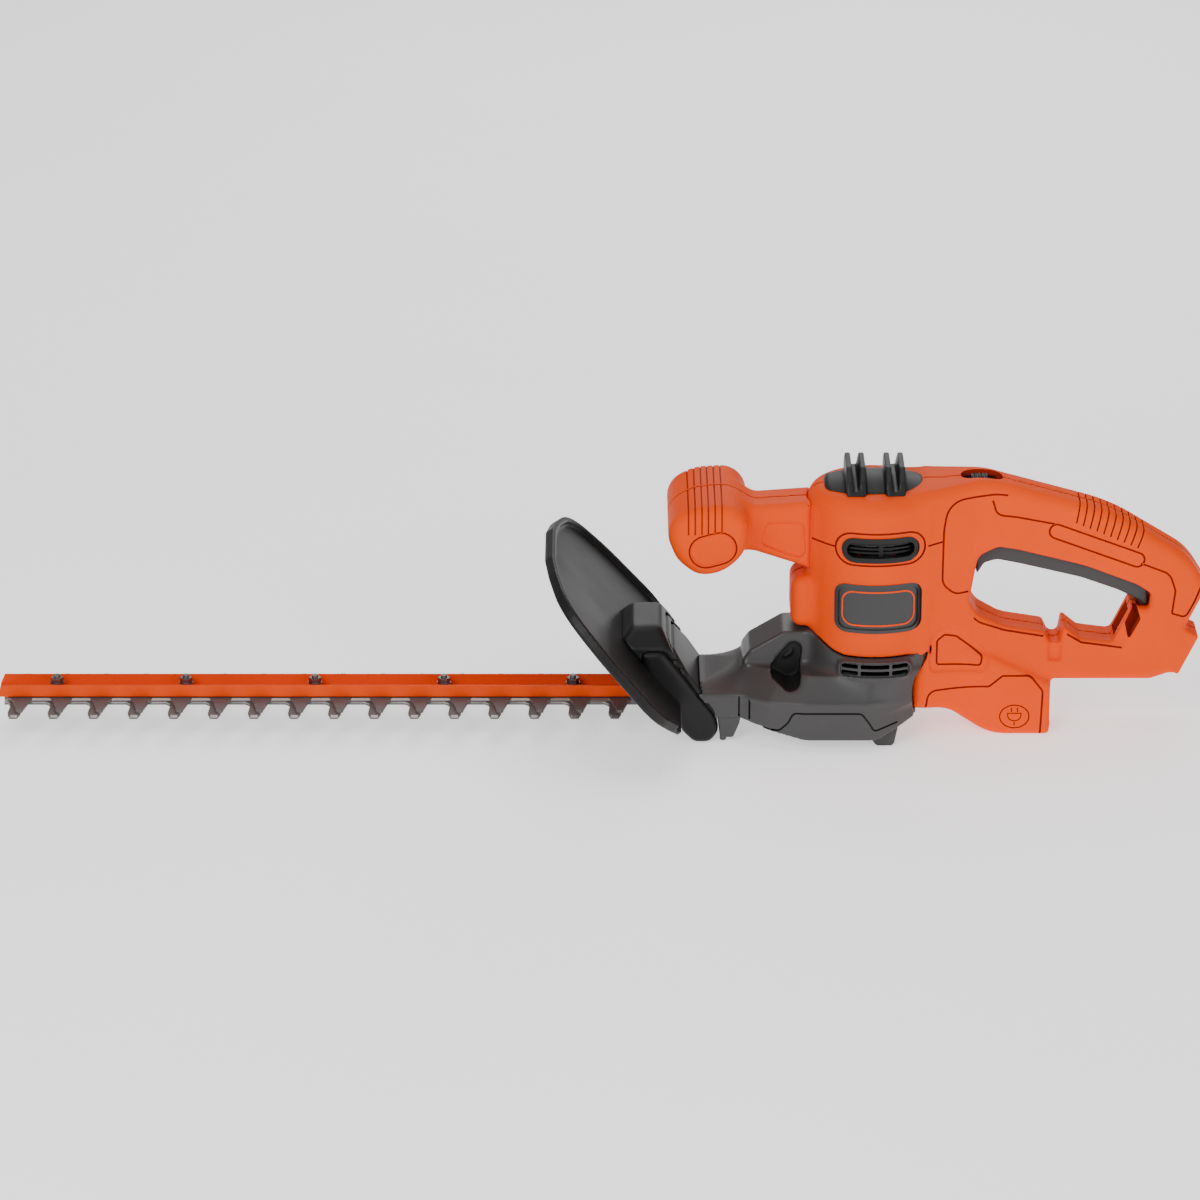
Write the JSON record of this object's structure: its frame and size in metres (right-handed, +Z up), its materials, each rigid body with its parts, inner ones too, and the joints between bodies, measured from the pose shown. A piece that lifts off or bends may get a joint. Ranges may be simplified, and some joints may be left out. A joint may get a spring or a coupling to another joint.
{
  "type": "hedge trimmer",
  "caption": "Corded hedge trimmer with a double-edged reciprocating blade on a channel bar, hand guard, crossbar front handle and D-shaped rear handle.",
  "frame": {"origin": "centre of the bottom of the bounding box, on the surface it stands on", "axes": "+X from the blade's tip towards the rear handle, +Z up, -Y is the left side when holding it"},
  "size_m": [0.7668, 0.2134, 0.178],
  "materials": {
    "orange_shell": "fine moulded texture",
    "gearcase_grey": "satin moulded",
    "guard_black": "satin moulded",
    "trim_grey": "satin moulded",
    "badge": "satin moulded",
    "inlet_black": "satin",
    "switch_black": "satin",
    "board_green": "satin",
    "blade_steel": "rolled steel with ground edges",
    "bar_orange": "powder coated",
    "hardware": "zinc plated",
    "steel": "machined",
    "magnet": "sintered",
    "copper": "enamelled wire",
    "carbon": "carbon block",
    "pin_brass": "polished"
  },
  "bodies": {
    "body": {"housing_left": "orange_shell", "housing_right": "orange_shell", "front_handle_left": "orange_shell", "front_handle_right": "orange_shell", "front_handle_screws": "hardware", "housing_screws": "hardware", "gearcase": "gearcase_grey", "bottom_cover": "gearcase_grey", "gearcase_screws": "hardware", "guard_bracket": "gearcase_grey", "hand_guard": "guard_black", "guard_screws": "hardware", "top_cap": "trim_grey", "vent_bezel_left": "trim_grey", "vent_bezel_right": "trim_grey", "vent_grille_left": "guard_black", "vent_grille_right": "guard_black", "badge_left": "badge", "badge_right": "badge", "trigger_pin": "steel", "trigger_spring": "steel", "switch_module": "switch_black", "rectifier_board": "board_green", "inlet_insert": "inlet_black", "inlet_pins": "pin_brass", "motor_can": "steel", "magnets": "magnet", "brush_carrier": "switch_black", "brushes": "carbon", "lower_bearing": "steel", "upper_bearing": "steel", "gear_pin": "steel", "blade_bar": "bar_orange", "blade_bolts": "hardware", "bolt_sleeves": "hardware", "bolt_spacers": "hardware", "flange_nuts": "hardware"},
    "motor": {"armature": "steel", "windings": "copper", "commutator": "copper", "motor_shaft": "steel", "fan": "guard_black", "pinion": "steel"},
    "drive": {"drive_gear": "steel", "cams": "steel"},
    "upper_blade": {"upper_blade": "blade_steel"},
    "lower_blade": {"lower_blade": "blade_steel"},
    "trigger": {"trigger": "trim_grey"},
    "switch_plunger": {"switch_plunger": "switch_black"},
    "lock_off_button": {"lock_off_button": "trim_grey"}
  },
  "joints": [
    {"name": "motor_spin", "type": "hinge", "parent": "body", "child": "motor", "pos_m": [0.173, 0, 0.1], "axis": [0, 0, 1], "continuous": true},
    {"name": "gear_spin", "type": "hinge", "parent": "body", "child": "drive", "pos_m": [0.136, 0, 0.028], "axis": [0, 0, 1], "continuous": true},
    {"name": "upper_blade_slide", "type": "slide", "parent": "body", "child": "upper_blade", "axis": [1, 0, 0], "range_m": [-0.00785, 0.00465]},
    {"name": "lower_blade_slide", "type": "slide", "parent": "body", "child": "lower_blade", "axis": [1, 0, 0], "range_m": [-0.00465, 0.00785]},
    {"name": "trigger_squeeze", "type": "hinge", "parent": "body", "child": "trigger", "pos_m": [0.247, 0, 0.127], "axis": [0, -1, 0], "range_deg": [0, 3.2], "stiffness_Nm_per_rad": 6, "springref_deg": -2.29, "deforming": ["trigger_spring"]},
    {"name": "plunger_slide", "type": "slide", "parent": "body", "child": "switch_plunger", "axis": [0, 0, 1], "range_m": [0, 0.0024]},
    {"name": "lock_off_slide", "type": "slide", "parent": "body", "child": "lock_off_button", "axis": [-1, 0, 0], "range_m": [0, 0.005], "stiffness_N_per_m": 300, "springref_m": -0.004}
  ],
  "couplings": [
    {"joint": "gear_spin", "follows": "motor_spin", "ratio": -0.13846},
    {"joint": "lower_blade_slide", "follows": "upper_blade_slide", "ratio": -1},
    {"joint": "plunger_slide", "follows": "trigger_squeeze", "m_per_rad": 0.041}
  ]
}
